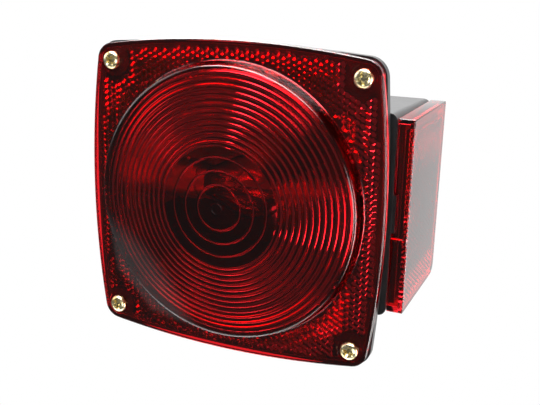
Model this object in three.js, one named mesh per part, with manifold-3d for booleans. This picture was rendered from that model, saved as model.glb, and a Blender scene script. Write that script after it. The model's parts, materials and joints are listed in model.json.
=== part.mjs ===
// Combination tail light for a trailer: a square red lens screwed to a black moulded housing, a red
// side marker lens on its right-hand wall, and two bayonet bulbs inside on one stamped chassis.
//
// Frame, in millimetres: the origin is on the mounting face, midway between the two studs.
// +Y points into the vehicle, so the main lens faces -Y. +X is the kerb side, where the side marker
// lens is, and +Z is up.
import * as THREE from "three";
import { mergeVertices } from "three/addons/utils/BufferGeometryUtils.js";
import Module from "manifold-3d";

const wasm = await Module();
wasm.setup();

// ---------------------------------------------------------------- driving dimensions

const GAP = 0.1; // between pieces that rest on each other

// Outlines: squares with bowed sides and rounded corners. The flange's sides are straighter than the
// lens's, so it is hidden behind the lens along the sides and shows at the corners.
const LENS_OUTLINE = { half: 60.2, bow: 350, corner: 6.5 };
const FLANGE_OUTLINE = { half: 59.3, bow: 600, corner: 7.5 };
const OUTLINE_STEPS = 5;

// Depths along Y, from the front to the mounting face.
const LENS_FRONT = -60.1;
const LENS_BACK = -57.4;
const SKIRT_BACK = -56.5;
const FLANGE_FRONT = -56.4;
const FLANGE_BACK = -53.4;
const TRAY_FLOOR = -52.1;
const TRAY_BACK = -50.1;
const BOX_FRONT = -51.3;
const CAVITY_FRONT = -48.1;
const BACK_WALL = -3.0;
const MOUNT_FACE = 0;

// Round dome of the main lens.
const DOME_BASE_RADIUS = 53.2;
const DOME_RIM_RADIUS = 50.2;
const DOME_RIM_Y = -66.3;
const DOME_APEX_Y = -70.6;
const DOME_WALL = 2.6;
const DOME_SEGMENTS = 48;
const CAP_STEPS = 4;

const SKIRT_WIDTH = 1.5;
const GASKET_OUTER_INSET = 1.7;
const LAND_INSET = 3.3; // inner edge of the flange's land and of the gasket
const REFLEX_DEPTH = 1.2; // mean depth of the moulded reflector prisms behind the plate

// Lens screws, one at each corner.
const SCREW_PITCH_HALF = 50;
const SCREW_HEAD_RADIUS = 3.5;
const SCREW_SHAFT_RADIUS = 1.75;
const SCREW_SEAT = -59.8;
const SCREW_TOP = -62.1;
const SCREW_TIP = -51.6;
const SCREW_PAD_RADIUS = 6.5;
const BOSS_RADIUS = 4.5;
const BOSS_BACK = -50.2;

// Housing box behind the flange.
const BOX_LEFT = -57.0;
const BOX_RIGHT = 60.4;
const BOX_HALF_HEIGHT = 37.7;
const BOX_DRAFT = 1.5; // each drafted wall leans in by this much towards the back
const BOX_WALL = 2.5;
const BOX_CORNER_RADIUS = 3;

// Side marker lens on the box's right-hand wall.
const SIDE_LENS_FACE = 66.6;
const SIDE_LENS_RIM = BOX_RIGHT + 0.2;
const SIDE_LENS_HALF_HEIGHT = 36;
const SIDE_LENS_FRONT = -50.7;
const SIDE_LENS_BACK = -0.6;
const SIDE_LENS_CHAMFER = 4.6;
const SIDE_LENS_WALL = 2;
const SIDE_LENS_FACE_WALL = 2.2;
const TAB_LOW = -5.5;
const TAB_HIGH = 8.5;
const TAB_TOP = BOX_RIGHT + 1.2;
const SIDE_RIB = [-9.9, -7.4];

// Mounting studs.
const STUD_SPACING = 50.8;
const STUD_RADIUS = 3.1;
const STUD_END = 24;
const STUD_HEAD_RADIUS = 5.5;
const BRACKET_ALLOWANCE = 3.3; // the mounting bracket's sheet goes between the housing and the washers
const WASHER_THICKNESS = 1;
const NUT_THICKNESS = 5.6;
const NUT_ACROSS_FLATS = 11.1;

// Wire outlet.
const GROMMET_X = -2;
const GROMMET_Z = -21;
const GROMMET_BORE = 3.3;
const GROMMET_HOLE = 6.2;
const GROMMET_RIM = 8;

// Stamped chassis that carries both sockets. Its strip is clamped under the stud heads.
const SHEET = 1.1;
const CHASSIS_FRONT = BACK_WALL - GAP - SHEET;
const CHASSIS_HALF_WIDTH = 9;

// The two bulbs lie along X, base to the left. "end" is the contact end of the base.
const MAIN_BULB = {
  name: "main",
  y: -32,
  z: 0,
  end: -38.6,
  baseRadius: 7.6,
  baseLength: 17.6,
  pinRadius: 1,
  pins: [
    { x: -31.8, angle: Math.PI / 2 },
    { x: -35.0, angle: -Math.PI / 2 },
  ],
  press: 2,
  shellRear: -48,
  shellMouth: -25,
  ear: -41.5,
  earHalfWidth: 11,
  contacts: [
    { name: "stop", offset: 3.3 },
    { name: "tail", offset: -3.3 },
  ],
  contactRadius: 1.5,
  springTurns: 2.5,
  springWire: 0.45,
  segments: 20,
};
const MARKER_BULB = {
  name: "marker",
  y: -32,
  z: 6,
  end: 32,
  baseRadius: 4.5,
  baseLength: 9,
  pinRadius: 0.75,
  pins: [
    { x: 37, angle: Math.PI / 2 },
    { x: 37, angle: -Math.PI / 2 },
  ],
  press: 1.6,
  shellRear: 22.5,
  shellMouth: 40,
  ear: 31.6,
  earHalfWidth: 8,
  contacts: [{ name: "tail", offset: 0 }],
  contactRadius: 1.5,
  springTurns: 2.5,
  springWire: 0.3,
  segments: 16,
};
const TURN = THREE.MathUtils.degToRad(30); // a bulb unlocks by this turn as it is pressed home

// ---------------------------------------------------------------- materials

const standard = (color, roughness, metalness) =>
  new THREE.MeshStandardMaterial({ color, roughness, metalness });
const RED_LENS = standard(0xb30812, 0.08, 0);
RED_LENS.transparent = true;
RED_LENS.opacity = 0.75;
const BLACK_PLASTIC = standard(0x17181a, 0.35, 0);
const RUBBER = standard(0x1b1b1b, 0.85, 0);
const YELLOW_ZINC = standard(0xd9c98a, 0.25, 1);
const BRIGHT_ZINC = standard(0xc3c6c9, 0.3, 1);
const BRASS = standard(0xc8a24a, 0.25, 1);
const PHENOLIC = standard(0x5a3a24, 0.6, 0);
const CLEAR_GLASS = standard(0xffffff, 0.02, 0);
CLEAR_GLASS.transparent = true;
CLEAR_GLASS.opacity = 0.3;
const TUNGSTEN = standard(0x8c8f94, 0.4, 1);
const SOLDER = standard(0xb5b8bb, 0.35, 1);
const BROWN_WIRE = standard(0x4a2c19, 0.5, 0);

// ---------------------------------------------------------------- solid helpers

// A closed three.js geometry as a manifold-3d solid with its faces pointing out.
function solid(geometry) {
  const open = geometry.index ? geometry.toNonIndexed() : geometry.clone();
  open.deleteAttribute("normal");
  open.deleteAttribute("uv");
  const merged = mergeVertices(open, 1e-4);
  const position = merged.attributes.position.array;
  const triVerts = new Uint32Array(merged.index.array);
  if (signedVolume(position, triVerts) < 0) {
    for (let i = 0; i < triVerts.length; i += 3) {
      [triVerts[i + 1], triVerts[i + 2]] = [triVerts[i + 2], triVerts[i + 1]];
    }
  }
  return new wasm.Manifold(
    new wasm.Mesh({ numProp: 3, vertProperties: new Float32Array(position), triVerts }),
  );
}

function signedVolume(position, triVerts) {
  const corner = [new THREE.Vector3(), new THREE.Vector3(), new THREE.Vector3()];
  let sum = 0;
  for (let i = 0; i < triVerts.length; i += 3) {
    corner.forEach((c, k) => c.fromArray(position, 3 * triVerts[i + k]));
    sum += corner[0].dot(corner[1].cross(corner[2]));
  }
  return sum;
}

function geometryOf(body) {
  const mesh = body.getMesh();
  const flat = new Float32Array(mesh.numVert * 3);
  for (let i = 0; i < mesh.numVert; i++) {
    const start = i * mesh.numProp;
    flat.set(mesh.vertProperties.subarray(start, start + 3), i * 3);
  }
  const indexed = new THREE.BufferGeometry();
  indexed.setAttribute("position", new THREE.BufferAttribute(flat, 3));
  indexed.setIndex(new THREE.BufferAttribute(mesh.triVerts, 1));
  const geometry = indexed.toNonIndexed();
  geometry.computeVertexNormals();
  return geometry;
}

// A shape drawn in X and Z, extruded from y0 to y1.
function extrudeY(shape, y0, y1, curveSegments = OUTLINE_STEPS) {
  const geometry = new THREE.ExtrudeGeometry(shape, {
    depth: y1 - y0,
    bevelEnabled: false,
    curveSegments,
  });
  return solid(geometry.rotateX(Math.PI / 2).translate(0, y1, 0));
}

// A shape drawn in Y and Z, extruded from x0 to x1.
function extrudeX(shape, x0, x1, curveSegments = OUTLINE_STEPS) {
  const geometry = new THREE.ExtrudeGeometry(shape, {
    depth: x1 - x0,
    bevelEnabled: false,
    curveSegments,
  });
  const turn = new THREE.Matrix4().makeBasis(
    new THREE.Vector3(0, 1, 0),
    new THREE.Vector3(0, 0, 1),
    new THREE.Vector3(1, 0, 0),
  );
  return solid(geometry.applyMatrix4(turn).translate(x0, 0, 0));
}

function box(x0, x1, y0, y1, z0, z1) {
  const geometry = new THREE.BoxGeometry(x1 - x0, y1 - y0, z1 - z0);
  return solid(geometry.translate((x0 + x1) / 2, (y0 + y1) / 2, (z0 + z1) / 2));
}

// A profile of [radius, y] pairs revolved about the line through x and z that runs along Y.
function latheY(profile, x = 0, z = 0, segments = 20) {
  const points = profile.map(([r, y]) => new THREE.Vector2(r, y));
  return solid(new THREE.LatheGeometry(points, segments).translate(x, 0, z));
}

// A profile of [radius, x] pairs revolved about the line through y and z that runs along X.
function latheX(profile, y, z, segments = 20) {
  const points = profile.map(([r, x]) => new THREE.Vector2(r, x));
  const geometry = new THREE.LatheGeometry(points, segments).rotateZ(-Math.PI / 2);
  return solid(geometry.translate(0, y, z));
}

function cylinderY(radius, y0, y1, x, z, segments = 20) {
  const profile = [[0, y0], [radius, y0], [radius, y1], [0, y1]];
  return latheY(profile, x, z, segments);
}

function cylinderX(radius, x0, x1, y, z, segments = 20) {
  const profile = [[0, x0], [radius, x0], [radius, x1], [0, x1]];
  return latheX(profile, y, z, segments);
}

// A closed ring of rectangular section about an X line.
function ringX(inner, outer, x0, x1, y, z, segments = 20) {
  const profile = [[inner, x0], [outer, x0], [outer, x1], [inner, x1], [inner, x0]];
  return latheX(profile, y, z, segments);
}

// A round wire of the given radius along a curve.
function wire(curve, radius, steps, sides = 6) {
  const section = new THREE.Shape();
  for (let i = 0; i < sides; i++) {
    const angle = (2 * Math.PI * i) / sides;
    const at = [radius * Math.cos(angle), radius * Math.sin(angle)];
    if (i === 0) section.moveTo(...at);
    else section.lineTo(...at);
  }
  return solid(new THREE.ExtrudeGeometry(section, { extrudePath: curve, steps }));
}

const unite = (solids) => solids.reduce((all, next) => all.add(next));
const cut = (body, ...cutters) => cutters.reduce((left, next) => left.subtract(next), body);

const assembly = new THREE.Group();
function part(name, body, material) {
  const mesh = new THREE.Mesh(geometryOf(body), material);
  mesh.name = name;
  assembly.add(mesh);
}

// ---------------------------------------------------------------- shapes

// The bowed square of the lens or the flange, moved in by inset all round.
function outline(inset, size = LENS_OUTLINE) {
  const half = size.half - inset;
  const bow = size.bow - inset;
  const corner = size.corner - inset;
  const back = bow - half;
  const reach = bow - corner;
  const q = (Math.sqrt(2 * reach * reach - back * back) - back) / 2;
  const lean = Math.atan2(q, q + back);
  const shape = new THREE.Shape();
  for (let side = 0; side < 4; side++) {
    const facing = (side * Math.PI) / 2;
    const [c, s] = [Math.round(Math.cos(facing)), Math.round(Math.sin(facing))];
    shape.absarc(-back * c, -back * s, bow, facing - lean, facing + lean, false);
    const [qx, qz] = [q * c - q * s, q * s + q * c];
    shape.absarc(qx, qz, corner, facing + lean, facing + Math.PI / 2 - lean, false);
  }
  return shape;
}

function roundedRectangle(x0, x1, z0, z1, radius) {
  const shape = new THREE.Shape();
  shape.absarc(x1 - radius, z1 - radius, radius, 0, Math.PI / 2, false);
  shape.absarc(x0 + radius, z1 - radius, radius, Math.PI / 2, Math.PI, false);
  shape.absarc(x0 + radius, z0 + radius, radius, Math.PI, 1.5 * Math.PI, false);
  shape.absarc(x1 - radius, z0 + radius, radius, 1.5 * Math.PI, 2 * Math.PI, false);
  return shape;
}

const atScrews = [-1, 1].flatMap((side) =>
  [-1, 1].map((level) => [side * SCREW_PITCH_HALF, level * SCREW_PITCH_HALF]),
);
const screwPosts = (radius, y0, y1, segments = 20) =>
  unite(atScrews.map(([x, z]) => cylinderY(radius, y0, y1, x, z, segments)));

// ---------------------------------------------------------------- housing

// The box behind the flange. Its top, bottom and left walls lean in towards the back.
function draftedBox(wall, y0, y1) {
  const left = BOX_LEFT + wall;
  const right = BOX_RIGHT - wall;
  const half = BOX_HALF_HEIGHT - wall;
  const shape = roundedRectangle(left, right, -half, half, BOX_CORNER_RADIUS);
  const geometry = new THREE.ExtrudeGeometry(shape, {
    depth: y1 - y0,
    bevelEnabled: false,
    curveSegments: 3,
  });
  geometry.rotateX(Math.PI / 2).translate(0, y1, 0);
  const position = geometry.attributes.position;
  for (let i = 0; i < position.count; i++) {
    const lean = BOX_DRAFT * (1 - (MOUNT_FACE - position.getY(i)) / (MOUNT_FACE - BOX_FRONT));
    const across = (right - position.getX(i)) / (right - left);
    position.setX(i, position.getX(i) + lean * across);
    position.setZ(i, position.getZ(i) * (1 - lean / half));
  }
  return solid(geometry);
}

// A frame on the right-hand wall that centres the side lens, and the two tabs that lock it.
function sideLensSeat() {
  const inset = SIDE_LENS_WALL + 0.5;
  const front = SIDE_LENS_FRONT + inset + 1.3;
  const back = SIDE_LENS_BACK - inset;
  const half = SIDE_LENS_HALF_HEIGHT - inset;
  const width = 1.5;
  const root = BOX_RIGHT - 0.5;
  const frame = box(root, BOX_RIGHT + 1.9, front, back, -half, half);
  const clear = box(
    root - 1, BOX_RIGHT + 3, front + width, back - width, -half + width, half - width);
  const corner = box(root - 1, BOX_RIGHT + 3, back - 4, back + 1, -half - 1, -half + 4);
  const tabs = [[SIDE_LENS_FRONT - 0.2, front + 0.5], [back - 0.5, SIDE_LENS_BACK]];
  return unite([
    cut(frame, clear, corner),
    ...tabs.map(([y0, y1]) => box(root, TAB_TOP, y0, y1, TAB_LOW, TAB_HIGH)),
  ]);
}

function housing() {
  const flange = extrudeY(outline(0, FLANGE_OUTLINE), FLANGE_FRONT, FLANGE_BACK);
  const tray = extrudeY(outline(2), FLANGE_FRONT, TRAY_BACK);
  const cornerPads = screwPosts(9, FLANGE_BACK - 0.5, FLANGE_BACK + 1.2)
    .intersect(extrudeY(outline(0.6, FLANGE_OUTLINE), FLANGE_FRONT, TRAY_BACK));
  const bosses = screwPosts(BOSS_RADIUS, FLANGE_BACK - 0.5, BOSS_BACK);
  const body = unite([
    flange,
    tray,
    cornerPads,
    bosses,
    draftedBox(0, BOX_FRONT, MOUNT_FACE),
    sideLensSeat(),
  ]);
  const trayCavity = extrudeY(outline(LAND_INSET), FLANGE_FRONT - 1, TRAY_FLOOR)
    .subtract(screwPosts(SCREW_PAD_RADIUS, FLANGE_FRONT - 2, TRAY_BACK));
  const half = BOX_HALF_HEIGHT - BOX_WALL;
  const throat = box(
    BOX_LEFT + BOX_WALL, BOX_RIGHT - 6, TRAY_FLOOR - 1, CAVITY_FRONT + 1, -half + 0.2, half - 0.2);
  const window = box(
    BOX_RIGHT - 2 * BOX_WALL, BOX_RIGHT + 1, SIDE_LENS_FRONT + 5.7, SIDE_LENS_BACK - 5.4, -30, 30);
  const studHoles = [-1, 1].map((side) =>
    cylinderY(STUD_RADIUS + 0.3, BACK_WALL - 1, MOUNT_FACE + 1, (side * STUD_SPACING) / 2, 0));
  return cut(
    body,
    trayCavity,
    throat,
    draftedBox(BOX_WALL, CAVITY_FRONT, BACK_WALL),
    window,
    screwPosts(SCREW_SHAFT_RADIUS + 0.1, FLANGE_FRONT - 1, SCREW_TIP + 0.4, 12),
    ...studHoles,
    cylinderY(GROMMET_HOLE, BACK_WALL - 1, MOUNT_FACE + 1, GROMMET_X, GROMMET_Z),
  );
}

// ---------------------------------------------------------------- main lens, gasket and screws

// A shallow spherical cap from the rim to the apex, as [radius, y] pairs.
function cap(rimRadius, rimY, apexY, steps) {
  const rise = rimY - apexY;
  const sphere = (rimRadius * rimRadius + rise * rise) / (2 * rise);
  return Array.from({ length: steps + 1 }, (_, i) => {
    const r = rimRadius * (1 - i / steps);
    return [r, apexY + sphere - Math.sqrt(sphere * sphere - r * r)];
  });
}

function mainLens() {
  const plate = extrudeY(outline(0), LENS_FRONT, LENS_BACK)
    .subtract(cylinderY(DOME_BASE_RADIUS - 1, LENS_FRONT - 1, LENS_BACK + 1, 0, 0, DOME_SEGMENTS));
  const skirt = extrudeY(outline(0), LENS_BACK - 0.5, SKIRT_BACK)
    .subtract(extrudeY(outline(SKIRT_WIDTH), LENS_BACK - 1, SKIRT_BACK + 1));
  const reflex = extrudeY(outline(LAND_INSET), LENS_BACK - 0.5, LENS_BACK + REFLEX_DEPTH)
    .subtract(cylinderY(
      DOME_BASE_RADIUS - 1, LENS_BACK - 1, LENS_BACK + 3, 0, 0, DOME_SEGMENTS))
    .subtract(screwPosts(SCREW_PAD_RADIUS + 0.5, LENS_BACK - 1, LENS_BACK + 3));
  const innerRim = DOME_RIM_RADIUS - DOME_WALL;
  const dome = latheY([
    [DOME_BASE_RADIUS, LENS_BACK],
    [DOME_BASE_RADIUS, LENS_FRONT],
    [DOME_BASE_RADIUS - 1.4, LENS_FRONT - 3.5],
    ...cap(DOME_RIM_RADIUS, DOME_RIM_Y, DOME_APEX_Y, CAP_STEPS),
    ...cap(innerRim, DOME_RIM_Y + DOME_WALL - 0.3, DOME_APEX_Y + DOME_WALL, CAP_STEPS).reverse(),
    [innerRim + 1.4, DOME_RIM_Y + DOME_WALL + 0.3],
    [innerRim + 2.6, LENS_BACK],
    [DOME_BASE_RADIUS, LENS_BACK],
  ], 0, 0, DOME_SEGMENTS);
  return cut(
    unite([plate, skirt, reflex, dome]),
    screwPosts(SCREW_HEAD_RADIUS + 1.2, LENS_FRONT - 1, SCREW_SEAT),
    screwPosts(SCREW_SHAFT_RADIUS + 0.35, LENS_FRONT - 1, LENS_BACK + 1, 12),
  );
}

function gasket() {
  const [front, back] = [LENS_BACK + GAP, FLANGE_FRONT - GAP];
  const inside = extrudeY(outline(LAND_INSET - 0.1), front - 1, back + 1)
    .subtract(screwPosts(SCREW_PAD_RADIUS - 0.2, front - 2, back + 2));
  return cut(
    extrudeY(outline(GASKET_OUTER_INSET), front, back),
    inside,
    screwPosts(SCREW_SHAFT_RADIUS + 0.35, front - 1, back + 1, 12),
  );
}

// Pan-head screw with a cross recess.
function lensScrew(x, z) {
  const seat = SCREW_SEAT - GAP;
  const body = latheY([
    [0, SCREW_TOP],
    [2, SCREW_TOP + 0.15],
    [3, SCREW_TOP + 0.6],
    [SCREW_HEAD_RADIUS, SCREW_TOP + 1.4],
    [SCREW_HEAD_RADIUS, seat],
    [SCREW_SHAFT_RADIUS, seat],
    [SCREW_SHAFT_RADIUS, SCREW_TIP - 1],
    [0, SCREW_TIP],
  ], x, z, 16);
  const [arm, width, depth] = [2.1, 0.5, 1.3];
  const [top, floor] = [SCREW_TOP - 1, SCREW_TOP + depth];
  return cut(
    body,
    box(x - arm, x + arm, top, floor, z - width, z + width),
    box(x - width, x + width, top, floor, z - arm, z + arm),
  );
}

// ---------------------------------------------------------------- side marker lens

// The lens outline in Y and Z, with its bottom rear corner cut off.
function sideOutline(inset) {
  const front = SIDE_LENS_FRONT + inset;
  const back = SIDE_LENS_BACK - inset;
  const half = SIDE_LENS_HALF_HEIGHT - inset;
  const chamfer = SIDE_LENS_CHAMFER - 0.6 * inset;
  const shape = new THREE.Shape();
  shape.moveTo(front, -half);
  shape.lineTo(back - chamfer, -half);
  shape.lineTo(back, -half + chamfer);
  shape.lineTo(back, half);
  shape.lineTo(front, half);
  return shape;
}

function sideLens() {
  const inner = SIDE_LENS_FACE - SIDE_LENS_FACE_WALL;
  const shell = extrudeX(sideOutline(0), SIDE_LENS_RIM, SIDE_LENS_FACE)
    .subtract(extrudeX(sideOutline(SIDE_LENS_WALL), SIDE_LENS_RIM - 1, inner));
  const notch = box(
    SIDE_LENS_RIM - 1, TAB_TOP + 0.3, SIDE_LENS_FRONT - 1, SIDE_LENS_BACK + 1,
    TAB_LOW - 0.3, TAB_HIGH + 0.3);
  const wallInside = SIDE_LENS_FRONT + SIDE_LENS_WALL;
  const rib = box(
    SIDE_LENS_RIM, inner + 0.5, wallInside - 0.5, wallInside + 1.4, SIDE_RIB[0], SIDE_RIB[1]);
  return cut(shell, notch).add(rib);
}

// ---------------------------------------------------------------- mounting hardware and grommet

function stud(x) {
  const head = CHASSIS_FRONT - GAP;
  return latheY([
    [0, head - 2.4],
    [STUD_HEAD_RADIUS - 0.7, head - 2.4],
    [STUD_HEAD_RADIUS, head - 1.7],
    [STUD_HEAD_RADIUS, head],
    [STUD_RADIUS, head],
    [STUD_RADIUS, STUD_END - 1],
    [STUD_RADIUS - 0.9, STUD_END],
    [0, STUD_END],
  ], x, 0, 16);
}

// Internal-tooth lock washer.
function lockWasher(x) {
  const ring = latheY([
    [4.3, BRACKET_ALLOWANCE],
    [6, BRACKET_ALLOWANCE],
    [6, BRACKET_ALLOWANCE + WASHER_THICKNESS],
    [4.3, BRACKET_ALLOWANCE + WASHER_THICKNESS],
    [4.3, BRACKET_ALLOWANCE],
  ], x, 0, 24);
  const teeth = Array.from({ length: 8 }, (_, i) => {
    const tooth = new THREE.BoxGeometry(1.3, WASHER_THICKNESS * 0.8, 1.3);
    tooth.translate(4.1, BRACKET_ALLOWANCE + WASHER_THICKNESS / 2, 0);
    return solid(tooth.rotateY((i * Math.PI) / 4).translate(x, 0, 0));
  });
  return unite([ring, ...teeth]);
}

function hexNut(x) {
  const start = BRACKET_ALLOWANCE + WASHER_THICKNESS + GAP;
  const corner = NUT_ACROSS_FLATS / Math.sqrt(3);
  const hexagon = new THREE.Shape();
  for (let i = 0; i < 6; i++) {
    const at = [x + corner * Math.cos((i * Math.PI) / 3), corner * Math.sin((i * Math.PI) / 3)];
    if (i === 0) hexagon.moveTo(...at);
    else hexagon.lineTo(...at);
  }
  const chamfered = latheY([
    [0, start],
    [corner - 0.7, start],
    [corner + 0.1, start + 0.7],
    [corner + 0.1, start + NUT_THICKNESS - 0.7],
    [corner - 0.7, start + NUT_THICKNESS],
    [0, start + NUT_THICKNESS],
  ], x, 0, 24);
  return extrudeY(hexagon, start, start + NUT_THICKNESS)
    .intersect(chamfered)
    .subtract(cylinderY(STUD_RADIUS + 0.15, start - 1, start + NUT_THICKNESS + 1, x, 0, 16));
}

function grommet() {
  return latheY([
    [GROMMET_BORE, BACK_WALL - 2.2],
    [GROMMET_RIM - 1, BACK_WALL - 2.2],
    [GROMMET_RIM, BACK_WALL - 1.4],
    [GROMMET_RIM, BACK_WALL - GAP],
    [GROMMET_HOLE - 0.2, BACK_WALL - GAP],
    [GROMMET_HOLE - 0.2, MOUNT_FACE - 0.2],
    [GROMMET_BORE, MOUNT_FACE - 0.2],
    [GROMMET_BORE, BACK_WALL - 2.2],
  ], GROMMET_X, GROMMET_Z);
}

// ---------------------------------------------------------------- chassis and sockets

function chassis() {
  const back = BACK_WALL - GAP;
  const strip = box(
    MAIN_BULB.ear, MARKER_BULB.ear + SHEET, CHASSIS_FRONT, back,
    -CHASSIS_HALF_WIDTH, CHASSIS_HALF_WIDTH);
  const ears = [MAIN_BULB, MARKER_BULB].map((bulb) => {
    const half = bulb.earHalfWidth;
    const plate = box(
      bulb.ear, bulb.ear + SHEET, bulb.y - half, back, bulb.z - half, bulb.z + half);
    const hole = shellRadius(bulb) + 0.15;
    return plate.subtract(
      cylinderX(hole, bulb.ear - 1, bulb.ear + SHEET + 1, bulb.y, bulb.z, bulb.segments));
  });
  const holes = [-1, 1].map((side) =>
    cylinderY(STUD_RADIUS + 0.4, CHASSIS_FRONT - 1, back + 1, (side * STUD_SPACING) / 2, 0, 16));
  return cut(unite([strip, ...ears]), ...holes);
}

const shellWall = 0.6;
const shellRadius = (bulb) => bulb.baseRadius + 0.2 + shellWall;

// The slot that one bayonet pin follows: a ramp from its seat to the entry, then out of the mouth.
// The hook between them stays clear of the pin as the bulb turns and goes in together.
function pinSlot(bulb, pin) {
  const radius = shellRadius(bulb);
  const half = bulb.pinRadius + 0.25;
  const swing = TURN * radius;
  const deep = pin.x - bulb.press;
  const ramp = Math.hypot(swing, bulb.press);
  const hookTip = pin.x + (half * ramp - bulb.press * (swing - half)) / swing;
  const shape = new THREE.Shape();
  shape.moveTo(-half, pin.x + half);
  shape.lineTo(-half, pin.x - half);
  shape.lineTo(swing - half, deep - half);
  shape.lineTo(swing + half, deep - half);
  shape.lineTo(swing + half, bulb.shellMouth + 1);
  shape.lineTo(swing - half, bulb.shellMouth + 1);
  shape.lineTo(swing - half, hookTip);
  shape.lineTo(half, pin.x + half);
  const geometry = new THREE.ExtrudeGeometry(shape, { depth: 3, bevelEnabled: false });
  const position = geometry.attributes.position;
  for (let i = 0; i < position.count; i++) {
    const angle = pin.angle + position.getX(i) / radius;
    const r = radius - 1.8 + position.getZ(i);
    const x = position.getY(i);
    position.setXYZ(i, x, bulb.y + r * Math.cos(angle), bulb.z + r * Math.sin(angle));
  }
  return solid(geometry);
}

// Turned shell with a rear lip for the spring and a bead on each side of the chassis ear.
function socketShell(bulb) {
  const outer = shellRadius(bulb);
  const inner = outer - shellWall;
  const lip = bulb.name === "main" ? 5.2 : 2.7;
  const { y, z, segments } = bulb;
  const beadAt = [bulb.ear - 0.8 - GAP, bulb.ear + SHEET + GAP];
  const body = latheX([
    [lip, bulb.shellRear],
    [outer, bulb.shellRear],
    [outer, bulb.shellMouth],
    [inner, bulb.shellMouth],
    [inner, bulb.shellRear + 0.8],
    [lip, bulb.shellRear + 0.8],
    [lip, bulb.shellRear],
  ], y, z, segments);
  const beads = beadAt.map((x) => ringX(outer - 0.2, outer + 1, x, x + 0.8, y, z, segments));
  return cut(unite([body, ...beads]), ...bulb.pins.map((pin) => pinSlot(bulb, pin)));
}

const discThickness = 1.9;
const discFront = (bulb) => bulb.end - 1.8;
const sleeveFloor = (bulb) => discFront(bulb) - discThickness - 1;

function contactDisc(bulb) {
  const front = discFront(bulb);
  const disc = cylinderX(
    bulb.baseRadius - 0.2, front - discThickness, front, bulb.y, bulb.z, bulb.segments);
  return cut(disc, ...bulb.contacts.map((contact) =>
    cylinderX(1, front - 3, front + 1, bulb.y, bulb.z + contact.offset, 10)));
}

// A rivet through the disc whose tail is a sleeve for the lead.
function contactRivet(bulb, contact) {
  const front = discFront(bulb);
  const rear = front - discThickness;
  return latheX([
    [0, front + 0.5],
    [1.1, front + 0.5],
    [1.6, front + 0.1],
    [0.9, front + 0.1],
    [0.9, rear - GAP],
    [bulb.contactRadius, rear - GAP],
    [bulb.contactRadius, rear - 3.4],
    [1.15, rear - 3.4],
    [1.15, sleeveFloor(bulb)],
    [0, sleeveFloor(bulb)],
  ], bulb.y, bulb.z + contact.offset, 10);
}

class Helix extends THREE.Curve {
  constructor(bulb, x0, x1, radius, turns) {
    super();
    Object.assign(this, { bulb, x0, x1, radius, turns });
  }

  getPoint(t, target = new THREE.Vector3()) {
    const angle = 2 * Math.PI * this.turns * t;
    return target.set(
      this.x0 + (this.x1 - this.x0) * t,
      this.bulb.y + this.radius * Math.cos(angle),
      this.bulb.z + this.radius * Math.sin(angle),
    );
  }
}

function contactSpring(bulb) {
  const rear = bulb.shellRear + 0.8 + bulb.springWire + GAP;
  const front = discFront(bulb) - discThickness - bulb.springWire - GAP;
  const radius = bulb.baseRadius - 0.4 - 2 * bulb.springWire;
  const helix = new Helix(bulb, rear, front, radius, bulb.springTurns);
  return wire(helix, bulb.springWire, Math.round(12 * bulb.springTurns), 5);
}

// ---------------------------------------------------------------- bulbs

function bulbBase(bulb) {
  const { y, z, end, segments } = bulb;
  const outer = bulb.baseRadius;
  const tube = ringX(outer - 0.5, outer, end, end + bulb.baseLength, y, z, segments);
  const pins = bulb.pins.map((pin) => {
    const geometry = new THREE.CylinderGeometry(bulb.pinRadius, bulb.pinRadius, 1.8, 10);
    geometry.translate(0, outer + 0.5, 0).rotateX(pin.angle).translate(pin.x, y, z);
    return solid(geometry);
  });
  return unite([tube, ...pins]);
}

const bulbInsulator = (bulb) =>
  latheX([
    [0, bulb.end - 0.5],
    [bulb.baseRadius - 2, bulb.end - 0.5],
    [bulb.baseRadius - 0.6, bulb.end + 0.3],
    [bulb.baseRadius - 0.6, bulb.end + 2],
    [0, bulb.end + 2],
  ], bulb.y, bulb.z, bulb.segments);

const solderDot = (bulb, contact) =>
  latheX([
    [0, bulb.end - 1.2],
    [1, bulb.end - 1.1],
    [1.6, bulb.end - 0.6],
    [0, bulb.end - 0.6],
  ], bulb.y, bulb.z + contact.offset, 10);

// A hollow envelope from outer [radius, x] pairs that run from the tip to the neck.
function envelope(bulb, outer, thickness) {
  const inner = outer.map(([r, x], i) => {
    if (i === 0) return [0, x - thickness];
    const thin = Math.max(r - thickness, 0.2);
    return [thin, i === outer.length - 1 ? x : x - thickness * (i < 3 ? 0.8 : 0)];
  });
  return latheX([...outer, ...inner.reverse()], bulb.y, bulb.z, bulb.segments);
}

const MAIN_GLASS = [
  [0, 12.2], [4, 11.7], [8, 9.8], [11.4, 6], [13.1, 1.2], [13.1, -3.5],
  [11.6, -9.5], [9, -15], [7, -19.4], [6.5, -21.5], [6.5, -24],
];
const MARKER_GLASS = [
  [0, 56], [3, 55.4], [5.6, 53.4], [7.1, 49.6], [6.6, 45.8], [4.9, 42.8], [3.7, 41.4], [3.7, 39.5],
];

// Glass stem that carries the filament supports.
const bulbStem = (bulb, x0, x1, radius) =>
  latheX([
    [0, x0],
    [radius, x0],
    [radius, x0 + 0.4 * (x1 - x0)],
    [0.55 * radius, x0 + 0.7 * (x1 - x0)],
    [0.7 * radius, x1],
    [0, x1],
  ], bulb.y, bulb.z, 12);

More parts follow.
